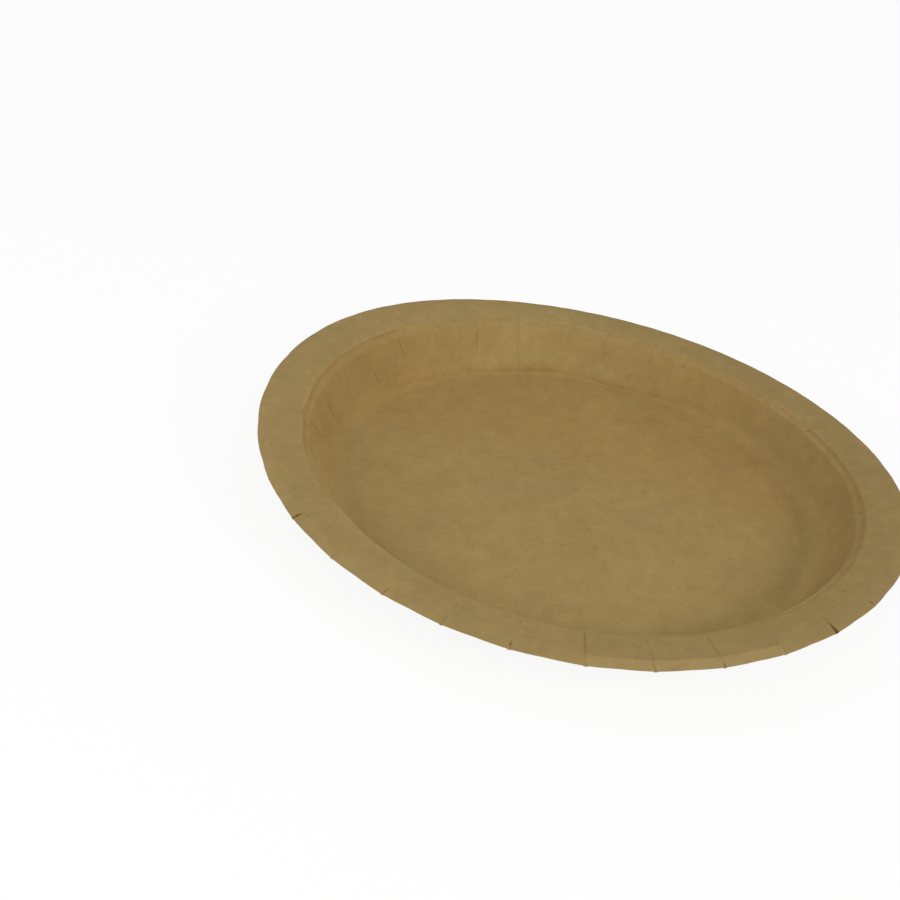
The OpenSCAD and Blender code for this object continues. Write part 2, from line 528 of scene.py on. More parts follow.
@dataclass
class SheetForm:
    """Where the pressed sheet strays from the turned section: the foot's fold, the shoulder and the rim.

    Angles are in degrees. The fold's line and its painted shade are in millimetres along the section, and a
    wave of its strength is a length in degrees and its seeds.
    """

    section: Section = field(default_factory=Section)
    fold_part: int = 4
    fold_reach: float = 10 * MM
    fold_depth: float = 0.112 * MM
    fold_gaps: tuple[float, ...] = (0.0, 0.35 * MM, 1.3 * MM, 2.3 * MM)
    fold_ends: Pair = (63, 153)
    fold_ease: float = 7
    fold_profile: tuple[float, ...] = (0.0, 1.0, 0.45, 0.0)
    fold_line: Rows = (
        (58, 6.6), (66, 6.4), (75, 4.0), (88, 2.2), (96, 4.4), (104, 4.4),
        (119, 3.0), (131, 4.6), (140, 3.2), (150, 5.0), (158, 5.4),
    )
    line_wave: float = 0.5
    line_wave_size: float = 3.0
    line_seed: float = 7.0
    fold_strength: Rows = (
        (60, 0.5), (70, 0.7), (75, 0.9), (79, 0.5), (85, 0.45), (88, 0.85), (93, 0.8), (96, 0.4),
        (102, 0.5), (105, 1.15), (117, 1.15), (119, 0.6), (128, 0.65), (132, 0.4), (150, 0.45),
    )
    fold_uneven: float = 0.5
    fold_waves: Rows = ((5.0, 0.4, 2.0), (1.7, 3.0, 0.5))
    fold_least: float = 0.1
    # Painted shade around the foot's fold: millimetres past the fold, and its share.
    fold_shading: Rows = (
        (-1.6, 0.0), (-0.5, 0.45), (0.0, 0.6), (0.35, 1.0), (0.9, 0.8), (2.2, 0.5), (4.0, 0.2), (6.0, 0.0),
    )
    step_usual: float = 0.5
    step_strong: float = 0.85
    step_ends: Pair = (-38, 32)
    step_ease: float = 16
    step_waves: float = 14
    step_seed: float = 0.3
    rim_start: float = 0.42
    rim_power: float = 2.2
    rim_raise: Pair = (0.45 * MM, 0.75 * MM)
    rim_far_side: Pair = (-0.3, 0.5)
    rim_fold_part: int = 12
    rim_folded: Pair = (276.9, 309.1)
    rim_ease: float = 0.7
    # The left rim folds a little, and its lip is painted a little paler there too.
    rim_left: Pair = (148, 226)
    rim_left_ease: float = 16
    rim_left_share: float = 0.4
    join_within: float = 0.01 * MM

    @cached_property
    def fold_parts(self) -> list[float]:
        """Stations of the fold's ring and of the three rings past it."""
        part = self.section.foot_top / self.section.runs[Stretch.FOOT].parts
        return [part * (self.fold_part + k) for k in range(len(self.fold_gaps))]

    @cached_property
    def rim_fold(self) -> float:
        """Station of the fold line round the folded part of the rim."""
        s = self.section
        return s.mouth + s.brim_w * self.rim_fold_part / s.runs[Stretch.BRIM].parts

    def fold_share(self, angle: float) -> float:
        """How much of the foot's fold there is.

        Args:
            angle: the angle round from +X, in degrees.

        Returns:
            The share, from 0 to about 1.
        """
        there = window(*self.fold_ends, self.fold_ease, angle)
        wave = sum(noise.noise(Vector((angle / size, *seed))) for size, *seed in self.fold_waves)
        return there * along(self.fold_strength, angle) * max(self.fold_least, 1 + self.fold_uneven * wave)

    def step_share(self, angle: float) -> float:
        """How much of the shoulder's step there is.

        Args:
            angle: the angle round from +X, in degrees.

        Returns:
            The share, from 0 to 1.
        """
        turned = (angle + 180) % 360 - 180
        strong = window(*self.step_ends, self.step_ease, turned)
        share = self.step_usual + (self.step_strong - self.step_usual) * strong
        a = math.radians(angle)
        wave = noise.noise(Vector((math.cos(a), math.sin(a), self.step_seed)) * self.step_waves)
        return min(1.0, max(0.0, share * (1 + wave)))

    def folded_share(self, angle: float) -> float:
        """How much the rim is folded down at an angle in degrees: 0 where it only curves down."""
        left = self.rim_left_share * window(*self.rim_left, self.rim_left_ease, angle % 360)
        return max(left, window(*self.rim_folded, self.rim_ease, angle % 360))

    def _fold_place(self, angle: float) -> float:
        """Station of the foot's fold at an angle in degrees."""
        wave = noise.noise(Vector((angle / self.line_wave_size, self.line_seed, 0.0)))
        return (along(self.fold_line, angle) + self.line_wave * wave) * MM

    def _slid(self, station: float, angle: float) -> float:
        """Moves the foot's rings to follow its fold.

        Args:
            station: length along the section from the floor's edge.
            angle: the angle round from +X, in degrees.

        Returns:
            The station after the move.
        """
        ring = self.fold_parts[0]
        if station >= self.section.foot_top or station <= ring - self.fold_reach:
            return station
        target = self._fold_place(angle)
        there = window(*self.fold_ends, self.fold_ease, angle)
        if station <= ring:
            share = (station - ring + self.fold_reach) / self.fold_reach
            return station + (target - ring) * share * there
        places = zip(self.fold_parts, (target + gap for gap in self.fold_gaps))
        moved = along([*places, (self.section.foot_top, self.section.foot_top)], station)
        return station + (moved - station) * there

    def _shoulder(self, station: float) -> Triple:
        """Point of the rounded shoulder without its step.

        Args:
            station: length along the section from the floor's edge.

        Returns:
            Radius and height in metres, and heading in radians.
        """
        s = self.section
        r0, z0, a0 = s.place(s.wall_top)
        r1, z1, a1 = s.place(s.mouth)
        reach = ((r1 - r0) * math.sin(a1) - (z1 - z0) * math.cos(a1)) / math.sin(a1 - a0)
        rc, zc = r0 + reach * math.cos(a0), z0 + reach * math.sin(a0)
        t = (station - s.wall_top) / (s.mouth - s.wall_top)
        k0, k1, k2 = (1 - t) ** 2, 2 * t * (1 - t), t * t
        dr, dz = (1 - t) * (rc - r0) + t * (r1 - rc), (1 - t) * (zc - z0) + t * (z1 - zc)
        return k0 * r0 + k1 * rc + k2 * r1, k0 * z0 + k1 * zc + k2 * z1, math.atan2(dz, dr)

    def _rim(self, station: float, column: ColumnForm) -> Triple:
        """Point of the outer brim: folded down for a share of 1, and curved down for 0.

        Args:
            station: length along the section from the floor's edge.
            column: what the column's angle asks for.

        Returns:
            Radius and height in metres, and heading in radians.
        """
        s = self.section
        begin = s.mouth + self.rim_start * s.brim_w
        slope = math.tan(math.radians(s.brim_angle))
        r_begin, z_begin, _ = s.place(begin)
        near, far = self.rim_raise
        raised = near + (far - near) * smooth(*self.rim_far_side, math.sin(math.radians(column.angle)))
        end = s.crown_height - s.lip_drop + raised
        share = (station - begin) / (s.edge - begin)
        radius = r_begin + (s.rim_r - r_begin) * share
        drop = z_begin + slope * (s.rim_r - r_begin) - end
        height = z_begin + slope * (radius - r_begin) - drop * share**self.rim_power
        turn = slope - self.rim_power * drop * share ** (self.rim_power - 1) / (s.rim_r - r_begin)
        if not column.folded:
            return radius, height, math.atan(turn)
        r_fold, z_fold, _ = s.place(self.rim_fold)
        if station <= self.rim_fold + self.join_within:
            r_f, z_f, a_f = s.place(station)
        else:
            past = (station - self.rim_fold) / (s.edge - self.rim_fold)
            r_f, z_f = r_fold + (s.rim_r - r_fold) * past, z_fold + (end - z_fold) * past
            a_f = math.atan2(end - z_fold, s.rim_r - r_fold)
        mix = (radius, r_f), (height, z_f), (math.atan(turn), a_f)
        return tuple(a + (b - a) * column.folded for a, b in mix)

    def place(self, station: float, column: ColumnForm) -> Triple:
        """Point of the upper face at one station of one column.

        Args:
            station: length along the section from the floor's edge.
            column: what the column's angle asks for.

        Returns:
            Radius and height in metres, and heading in radians.
        """
        s = self.section
        if station > s.mouth + self.rim_start * s.brim_w:
            return self._rim(station, column)
        if s.wall_top < station < s.mouth:
            mix = zip(self._shoulder(station), s.place(station))
            return tuple(a + (b - a) * column.step for a, b in mix)
        if not column.fold:
            return s.place(station)
        radius, height, heading = s.place(self._slid(station, column.angle))
        depth = along(list(zip(self.fold_parts, self.fold_profile)), station)
        depth *= self.fold_depth * column.fold
        return radius + depth * math.sin(heading), height - depth * math.cos(heading), heading

    def fold_shade(self, station: float, column: ColumnForm) -> float:
        """How much painted shade the foot's fold puts on a station of a column."""
        past = (self._slid(station, column.angle) - self._fold_place(column.angle)) / MM
        return column.fold * along(self.fold_shading, past)

    def column(self, angle: float) -> ColumnForm:
        """What the sheet's form asks for at an angle in radians."""
        degrees = math.degrees(angle) % 360
        return ColumnForm(
            degrees, self.fold_share(degrees), self.step_share(degrees), self.folded_share(degrees)
        )


@dataclass(frozen=True)
class ColumnTone:
    """The shares of painted light and shade at one angle."""

    wall_bounce_warmth: float
    wall_painted_shade: float
    wall_glow: float
    brim_painted_shade: float
    brim_glow: float
    mouth_light: float
    tuck_shadow: float
    glint: float


@dataclass(frozen=True)
class Tone:
    """Painted light and shade over the board, as shares from 0 to 1 for the material.

    A table holds angles in degrees, each with its share. Each tuck shadow and each glint, a painted
    highlight, is a line along the mouth: its first and last angle and its share. Ends in metres are places
    on the floor, and other ends are angles. Bands are lengths from the wall's top or the mouth.
    """

    # Painted warm bounce light on the floor, stronger towards the back and the sides.
    floor_near: float = -5 * MM
    floor_far: float = 42 * MM
    floor_sides: Pair = (34 * MM, 70 * MM)
    floor_usual: float = 0.09
    far_share: float = 0.91
    side_share: float = 0.2
    # Painted shade in the floor's back right corner.
    corner_ends: Pair = (44, 74)
    corner_ease: float = 16
    corner_reach: Pair = (40 * MM, 66 * MM)
    corner_share: float = 0.55
    # Painted light on the floor: towards the front right, and just behind the near mouth.
    near_ends: Pair = (40 * MM, 78 * MM)
    near_share: float = 0.3
    glow_turn: float = -40
    glow_ends: Pair = (20 * MM, 80 * MM)
    # Painted warm bounce light on the walls, by angle.
    wall_bounce_warmth: Rows = (
        (0, 0.55), (55, 0.6), (65, 0.85), (78, 0.75), (90, 0.45), (112, 0.32),
        (120, 0.5), (135, 0.75), (150, 1.0), (190, 1.0), (205, 0.75), (240, 0.55),
    )
    # Painted shade on the walls and the foot, by angle.
    wall_painted_shade: Rows = (
        (0, 0.35), (28, 0.3), (45, 0.05), (58, 0.35), (98, 0.35), (104, 0.05), (122, 0.1), (130, 0.4),
        (140, 0.4), (148, 0.8), (160, 0.75), (172, 0.5), (192, 0.6), (205, 0.2), (215, 0.0), (325, 0.0),
        (345, 0.35),
    )
    # Painted shade on the brim, by angle, strongest on the right.
    brim_painted_shade: Rows = (
        (0, 0.95), (35, 0.8), (66, 0.8), (78, 0.4), (94, 0.35), (103, 0.0),
        (140, 0.2), (180, 0.35), (240, 0.6), (270, 0.6), (310, 0.95),
    )
    # Painted light on the walls and the brim, by angle.
    wall_glow: Rows = ((180, 0.0), (200, 1.0), (240, 1.0), (256, 0.0))
    brim_glow: Rows = ((96, 0.0), (106, 0.4), (125, 0.35), (145, 0.0))
    # Painted light on the near mouth's bend, which faces away from the lamps.
    mouth_light_ends: Pair = (228, 328)
    mouth_light_ease: float = 22
    # Painted shadow lines along the small tucks just inside the mouth, by angle.
    tuck_shadows: Rows = (
        (63, 70, 0.5), (77.5, 83.8, 0.7), (85.6, 90.3, 0.8), (101.8, 105.5, 0.8), (115.6, 121.6, 0.9),
        (124, 132, 0.4), (146, 158, 0.9), (160, 166, 0.6), (168, 187, 0.9), (191, 204, 0.6),
    )
    # Painted highlights along the mouth's edge, by angle.
    glints: Rows = (
        (70, 76, 0.5), (84, 91, 0.4), (94, 101.8, 0.9), (104.8, 113.7, 0.8),
        (147, 163, 0.8), (181, 188, 1.0), (192, 197, 0.6),
    )
    line_ease: float = 1.2
    line_uneven: float = 0.5
    line_seed: float = 5.0
    # Bands along the section where the painted light and shade start and stop.
    wall_from: float = -2 * MM
    brim_ease: float = 1 * MM
    foot_dull: float = 0.3
    top_ease: float = 0.5 * MM
    mouth_light_start: float = 1 * MM
    bounce_warmth_stop: Pair = (-1.6 * MM, 0.4 * MM)
    mouth_light_band: Pair = (0.8 * MM, -1 * MM)
    mouth_light_soft: float = 0.7 * MM
    tuck_shadow_band: Pair = (-1.5 * MM, -1.1 * MM)
    glint_band: Pair = (-0.2 * MM, 0.3 * MM)
    line_soft: float = 0.6 * MM

    def _line(self, lines: Rows, degrees: float) -> float:
        """Share of the broken painted lines, tuck shadows and glints, at an angle."""
        there = max(share * window(first, last, self.line_ease, degrees) for first, last, share in lines)
        return there * max(0.0, 1 + self.line_uneven * noise.noise(Vector((degrees, self.line_seed, there))))

    def column(self, degrees: float) -> ColumnTone:
        """What an angle of 0 to 360 degrees asks for.

        Args:
            degrees: the angle.

        Returns:
            Its shares.
        """
        tables = (self.wall_bounce_warmth, self.wall_painted_shade, self.wall_glow, self.brim_painted_shade, self.brim_glow)
        return ColumnTone(
            *(along(table, degrees) for table in tables),
            mouth_light=window(*self.mouth_light_ends, self.mouth_light_ease, degrees),
            tuck_shadow=self._line(self.tuck_shadows, degrees),
            glint=self._line(self.glints, degrees),
        )

    def _floor(self, x: float, y: float) -> Triple:
        """Shares of painted light and shade on the floor.

        Args:
            x: place to the right of the middle.
            y: place behind the middle.

        Returns:
            The shares of painted warm bounce light, painted shade and painted light.
        """
        bounce_warmth = self.floor_usual + self.far_share * smooth(self.floor_near, self.floor_far, y)
        bounce_warmth += self.side_share * smooth(*self.floor_sides, abs(x))
        degrees = math.degrees(math.atan2(y, x))
        corner = window(*self.corner_ends, self.corner_ease, degrees)
        painted_shade = self.corner_share * corner * smooth(*self.corner_reach, math.hypot(x, y))
        turn = math.radians(self.glow_turn)
        side = smooth(*self.glow_ends, x * math.cos(turn) + y * math.sin(turn))
        return min(1.0, bounce_warmth), painted_shade, max(side, self.near_share * smooth(*self.near_ends, -y))

    def shares(
        self, place: Vector, station: float, column: ColumnTone, section: Section
    ) -> dict[str, float]:
        """Shares of painted light and shade at one point.

        Args:
            place: the point.
            station: its length along the section from the floor's edge.
            column: what its angle asks for.
            section: the pressed section.

        Returns:
            The share of each of the material's tints.
        """
        s = section
        bounce_warmth, painted_shade, glow = self._floor(place.x, place.y)
        into_wall = smooth(self.wall_from, s.foot_top, station)
        on_brim = smooth(s.mouth - self.brim_ease, s.mouth + self.brim_ease, station)
        bounce_warmth += (column.wall_bounce_warmth - bounce_warmth) * into_wall
        bounce_warmth *= 1 - column.mouth_light * smooth(s.wall_top - self.mouth_light_start, s.wall_top, station)
        painted_shade += (column.wall_painted_shade - painted_shade) * into_wall
        glow *= 1 - smooth(s.foot_top, s.wall_top, station)
        wall_glow = column.wall_glow * smooth(self.foot_dull * s.foot_top, s.foot_top, station)
        wall_glow *= 1 - smooth(s.wall_top - self.top_ease, s.wall_top + self.top_ease, station)
        glow = max(glow, wall_glow)
        past_mouth = station - s.mouth
        mouth_light_start, mouth_light_stop = s.wall_top + self.mouth_light_band[0], s.mouth + self.mouth_light_band[1]
        return {
            "bounce_warmth": bounce_warmth * (1 - smooth(*self.bounce_warmth_stop, past_mouth)),
            "painted_shade": painted_shade + (column.brim_painted_shade - painted_shade) * on_brim,
            "glow": glow + (column.brim_glow - glow) * on_brim,
            "mouth_light": column.mouth_light * window(mouth_light_start, mouth_light_stop, self.mouth_light_soft, station),
            "tuck_shadow": column.tuck_shadow * window(*self.tuck_shadow_band, self.line_soft, past_mouth),
            "glint": column.glint * window(*self.glint_band, self.line_soft, past_mouth),
        }


class SectionPen:
    """Draws the section in a bmesh as a chain of edges, from the axis out and back again below."""

    def __init__(self, mesh: BMesh, start: Vector) -> None:
        """Starts the chain.

        Args:
            mesh: the mesh that is drawn in.
            start: first point, in the plane of X and Z.
        """
        self.mesh = mesh
        self.stations = mesh.verts.layers.float.new("station")
        self.faces = mesh.verts.layers.int.new("face")
        self.tip = mesh.verts.new(start)
        self.heading = 0.0
        self.station = 0.0
        self.face = Face.UPPER

    def _mark(self) -> None:
        """Writes the pen's place along the section on its newest point."""
        self.tip[self.stations] = self.station
        self.tip[self.faces] = self.face.value

    def start_at(self, station: float) -> None:
        """Sets the station of the first point."""
        self.station = station
        self._mark()

    def run(self, size: float, turn: float, parts: int, gain: float) -> None:
        """Draws a run: straight for a turn of 0, and otherwise an arc.

        Args:
            size: its length, or the arc's radius.
            turn: its turn in degrees, positive upwards from the heading.
            parts: how many edges it has.
            gain: how far the station moves over the run.
        """
        side, a = math.copysign(1.0, turn), math.radians(self.heading)
        step = Vector((math.cos(a), 0, math.sin(a))) * (size / parts)
        centre = self.tip.co + Vector((-math.sin(a), 0, math.cos(a))) * size * side
        for _ in range(parts):
            if turn:
                made = bmesh.ops.spin(
                    self.mesh,
                    geom=[self.tip],
                    cent=centre,
                    axis=(0, -side, 0),
                    angle=math.radians(abs(turn)) / parts,
                    steps=1,
                    use_merge=False,
                    use_duplicate=False,
                )
                self.tip = next(e for e in made["geom_last"] if isinstance(e, bmesh.types.BMVert))
            else:
                self.tip = bmesh.ops.extrude_vert_indiv(self.mesh, verts=[self.tip])["verts"][0]
                bmesh.ops.translate(self.mesh, vec=step, verts=[self.tip])
            self.heading += turn / parts
            self.station += gain / parts
            self._mark()


@dataclass(frozen=True)
class Column:
    """One column of points: its pleat with its angle, and its sideways distance from it at the rim."""

    pleat: Pleat
    pleat_angle: float
    offset: float
    form: ColumnForm
    tone: ColumnTone


@dataclass(frozen=True)
class Spot:
    """Where a point lies on the sheet: its column, its station, and whether it's on the upper face."""

    column: Column
    station: float
    upper: bool


@dataclass
class PressedPlate:
    """The pressed sheet of board, as one closed mesh.

    Its columns are sideways distances from a pleat at the rim, in millimetres.
    """

    section: Section = field(default_factory=Section)
    ring: PleatRing = field(default_factory=PleatRing)
    warp: Warp = field(default_factory=Warp)
    form: SheetForm = field(default_factory=SheetForm)
    tone: Tone = field(default_factory=Tone)
    name: str = "pressed_plate"
    # The material's tints: all but the crease and the lip are painted light and shade, and those two are
    # partly painted.
    shades: tuple[str, ...] = ("crease", "fold", "lip", "bounce_warmth", "painted_shade", "glow", "mouth_light", "tuck_shadow", "glint")
    crisp_angle: float = 50
    join_within: float = 0.001 * MM
    floor_rings: int = 16
    floor_rings_below: int = 8
    columns: tuple[float, ...] = (0.12, 0.25, 0.4, 0.6, 0.9, 1.5, 2.6, 4.6, 7.4)
    groove: float = 0.34 * MM
    crease_spread: float = 1.45
    slit_depth: float = 0.4 * MM
    lap_t: float = 0.3 * MM
    lap_w: float = 0.9 * MM
    lap_ease: float = 0.25 * MM
    lean_reach: float = 1.6 * MM
    dip_reach: float = 2 * MM
    stray_ends: Pair = (2 * MM, 9 * MM)
    flat_from: float = -8 * MM
    lip_ends: Pair = (-0.3 * MM, 0.7 * MM)
    crisp_rim: float = 0.5
    crisp_foot: float = 0.3
    pole_r: float = 0.001 * MM
    panel_bow: float = 0.26 * MM
    fold_bulge: float = 0.12 * MM

    @property
    def columns_per_pleat(self) -> int:
        """Columns of faces from one pleat to the next."""
        return 2 * len(self.columns) + 2

    def draw_section(self, mesh: BMesh) -> None:
        """Draws both faces of the board and its cut edge as one chain.

        Args:
            mesh: the empty mesh that it is drawn in.
        """
        s = self.section
        pen = SectionPen(mesh, Vector((0, 0, s.board_t)))
        pen.start_at(-s.floor_r)
        pen.run(s.floor_r, 0, self.floor_rings, s.floor_r)
        for run in s.runs:
            pen.run(run.size, run.turn, run.parts, run.length)
        pen.heading -= 90
        pen.face = Face.LOWER
        pen.run(s.board_t, 0, 1, 0)
        pen.heading -= 90
        for run in reversed(s.runs):
            size = run.size + math.copysign(s.board_t, run.turn) if run.turn else run.size
            pen.run(size, -run.turn, run.parts_below, -run.length)
        pen.run(s.floor_r, 0, self.floor_rings_below, -s.floor_r)

    def turn_round(self, mesh: BMesh) -> None:
        """Spins the section into the whole plate and closes its poles.

        Args:
            mesh: the mesh with the section in it.
        """
        one_pleat = (self.ring.spacing, self.columns_per_pleat, False)
        the_rest = (FULL_TURN - self.ring.spacing, self.ring.count - 1, True)
        for angle, steps, copied in (one_pleat, the_rest):
            bmesh.ops.spin(
                mesh,
                geom=mesh.verts[:] + mesh.edges[:] + mesh.faces[:],
                cent=(0, 0, 0),
                axis=(0, 0, 1),
                angle=angle,
                steps=steps,
                use_merge=False,
                use_duplicate=copied,
            )
        bmesh.ops.remove_doubles(mesh, verts=mesh.verts[:], dist=self.join_within)
        bmesh.ops.recalc_face_normals(mesh, faces=mesh.faces[:])

    def offset(self, column: int) -> float:
        """Sideways distance of a column from its pleat, at the rim.

        Args:
            column: number of the column within its pleat, from 0 on the pleat itself.

        Returns:
            The distance in metres, positive anticlockwise.
        """
        half = self.columns_per_pleat // 2
        if column == 0:
            return 0.0
        if column == half:
            return -self.ring.spacing * self.section.rim_r / 2
        if column < half:
            return self.columns[column - 1] * MM
        return -self.columns[self.columns_per_pleat - column - 1] * MM

    def weight(self, station: float) -> float:
        """Share of the sheet's slow bend that a station takes.

        Args:
            station: length along the section from the floor's edge.

        Returns:
            The share, 0 at the floor and 1 at the edge.
        """
        s = self.section
        if station <= s.mouth:
            return self.warp.at_mouth * max(0.0, station / s.mouth) ** self.warp.power
        rest = (station - s.mouth) / (s.edge - s.mouth)
        return self.warp.at_mouth + (1 - self.warp.at_mouth) * rest

    def lay_out(self) -> list[Column]:
        """Places every column of points on its pleat.

        Returns:
            The columns, in order round the plate from +X.
        """
        pleats, per_pleat = self.ring.pleats(), self.columns_per_pleat
        columns = []
        for place in range(self.ring.count * per_pleat):
            number, local = divmod(place + per_pleat // 2, per_pleat)
            pleat = pleats[number % self.ring.count]
            offset = self.offset((local - per_pleat // 2) % per_pleat)
            angle = self.ring.angle(pleat.number)
            form = self.form.column(angle + offset / self.section.rim_r)
            columns.append(Column(pleat, angle, offset, form, self.tone.column(form.angle)))
        return columns

    def relief(self, spot: Spot, aside: float) -> float:
        """How far a point stands out of its face: in a crease's groove above, and on a lap below.

        Args:
            spot: where the point lies on the sheet.
            aside: its sideways distance from its pleat.

        Returns:
            The distance in metres, negative into the board.
        """
        s, pleat, station = self.section, spot.column.pleat, spot.station
        strength, width = pleat.look(station)
        if spot.upper:
            cut = self.groove * min(1.0, strength)
            cut += self.slit_depth * min(1.0, 2 * pleat.open_share(station, s.edge))
            move = -cut * max(0.0, 1 - abs(aside) / width)
        else:
            half = self.lap_w / 2
            move = self.lap_t * smooth(0, s.foot_top, station)
            move *= 1 - smooth(half, half + self.lap_ease, abs(aside))
        if aside * pleat.lean > 0 and station > 0:
            move += abs(pleat.lean) * min(1.0, 2 * strength) * math.exp(-abs(aside) / self.lean_reach)
        return move

    def place(self, spot: Spot) -> tuple[Vector, float, float]:
        """Place of one point on the pleated and slightly bent sheet.

        Args:
            spot: where the point lies on the sheet.

        Returns:
            The place, the angle round from +X in radians, and the sideways distance from the pleat.
        """
        s, column, station = self.section, spot.column, spot.station
        pleat, offset = column.pleat, column.offset
        radius, height, heading = self.form.place(station, column.form)
        near = 1 - smooth(*self.stray_ends, abs(offset))
        stray = pleat.drift(station) * near * smooth(0, s.foot_top, station)
        if offset:
            stray += math.copysign(0.5 * pleat.opening * pleat.open_share(station, s.edge) * near, offset)
        aside = offset * radius / s.rim_r
        angle = column.pleat_angle + offset / s.rim_r + stray / radius
        if not spot.upper:
            radius += s.board_t * math.sin(heading)
            height -= s.board_t * math.cos(heading)
            heading += math.pi
        move, weight = self.relief(spot, aside), self.weight(station)
        share = abs(offset) / (self.ring.spacing * s.rim_r / 2)
        bow = self.panel_bow * smooth(s.foot_top, s.edge, station) * (1 - share * share)
        dip = self.fold_bulge * smooth(s.mouth, s.edge, station) * math.exp(-abs(aside) / self.dip_reach)
        radius += -math.sin(heading) * move + bow + self.warp.outward(angle, weight)
        height += math.cos(heading) * move - dip + self.warp.lift(angle, weight)
        point = Vector((radius * math.cos(angle), radius * math.sin(angle), 0))
        point.z = height + self.warp.floor(point, 1 - smooth(self.flat_from, s.foot_top, station))
        return point, angle, aside

    def shares(self, spot: Spot, place: Vector, aside: float) -> dict[str, float]:
        """Shares of the material's tints at one point, most of them painted light and shade.

        Args:
            spot: where the point lies on the sheet.
            place: the point.
            aside: its sideways distance from its pleat.

        Returns:
            The share of each shade that it has.
        """
        column, station = spot.column, spot.station
        shares = self.tone.shares(place, station, column.tone, self.section)
        # Paler lip on the folded rim: partly the stretched fibres' own colour, partly painted light.
        first, last = (self.form.rim_fold + end for end in self.lip_ends)
        shares["lip"] = column.form.folded * smooth(first, last, station)
        if spot.upper:
            strength, width = column.pleat.look(station)
            # Crease darkening: partly the crushed fibres' own colour, partly painted shade.
            shares["crease"] = strength * max(0.0, 1 - abs(aside) / (self.crease_spread * width))
            shares["fold"] = self.form.fold_shade(station, column.form)
        return shares

    def is_crisp(self, spot: Spot) -> bool:
        """Whether a point lies on a sharp fold of the upper face, round the rim or the foot.

        Args:
            spot: where the point lies on the sheet.

        Returns:
            True on a sharp fold.
        """
        form, here = self.form, spot.column.form
        folds = (
            (form.rim_fold, here.folded > self.crisp_rim),
            (form.fold_parts[0], here.fold > self.crisp_foot),
        )
        return spot.upper and any(abs(spot.station - at) < self.join_within and sharp for at, sharp in folds)

    def shape(self, mesh: BMesh) -> None:
        """Moves every point from the plain turned form to the pleated and slightly bent one.

        Args:
            mesh: the turned mesh.
        """
        floats, whole = mesh.verts.layers.float, mesh.verts.layers.int
        for name in (*self.shades, "blank_x", "blank_y"):
            floats.new(name)
        whole.new("crisp")
        shades = {name: floats[name] for name in self.shades}
        station_of, face_of, crisp_of = floats["station"], whole["face"], whole["crisp"]
        blank_x, blank_y = floats["blank_x"], floats["blank_y"]
        columns = self.lay_out()
        for vert in mesh.verts:
            if math.hypot(vert.co.x, vert.co.y) < self.pole_r:
                vert.co.z += self.warp.floor(vert.co, 1.0)
                # The pole takes the floor's usual share of painted warm bounce light.
                vert[shades["bounce_warmth"]] = self.tone.floor_usual
                continue
            turned = math.atan2(vert.co.y, vert.co.x) / FULL_TURN
            column = columns[round(turned * len(columns)) % len(columns)]
            spot = Spot(column, vert[station_of], vert[face_of] == Face.UPPER.value)
            vert.co, angle, aside = self.place(spot)
            flat = self.section.floor_r + spot.station
            vert[blank_x], vert[blank_y] = flat * math.cos(angle), flat * math.sin(angle)
            for name, share in self.shares(spot, vert.co, aside).items():
                vert[shades[name]] = share
            vert[crisp_of] = int(self.is_crisp(spot))

    def make(self) -> bpy.types.Object:
        """Builds the sheet.

        Returns:
            The finished object, with its place in its mesh.
        """
        mesh = bmesh.new()
        self.draw_section(mesh)
        self.turn_round(mesh)
        self.shape(mesh)
        bmesh.ops.recalc_face_normals(mesh, faces=mesh.faces[:])
        uv = mesh.loops.layers.uv.new("blank")
        blank_x, blank_y = mesh.verts.layers.float["blank_x"], mesh.verts.layers.float["blank_y"]
        crisp_of = mesh.verts.layers.int["crisp"]
        station_of = mesh.verts.layers.float["station"]
        for face in mesh.faces:
            face.smooth = True
            for loop in face.loops:
                loop[uv].uv = (loop.vert[blank_x], loop.vert[blank_y])
        for edge in mesh.edges:
            first, second = edge.verts
            along_fold = first[crisp_of] and second[crisp_of] and first[station_of] == second[station_of]
            if along_fold or edge.calc_face_angle(0.0) > math.radians(self.crisp_angle):
                edge.smooth = False
        low = min(vert.co.z for vert in mesh.verts)
        bmesh.ops.translate(mesh, vec=(0, 0, -low), verts=mesh.verts[:])
        log.info("%s: lowest point was at %.3f mm", self.name, low / MM)
        data = bpy.data.meshes.new(self.name)
        mesh.to_mesh(data)
        mesh.free()
        return put_in_scene(self.name, data)


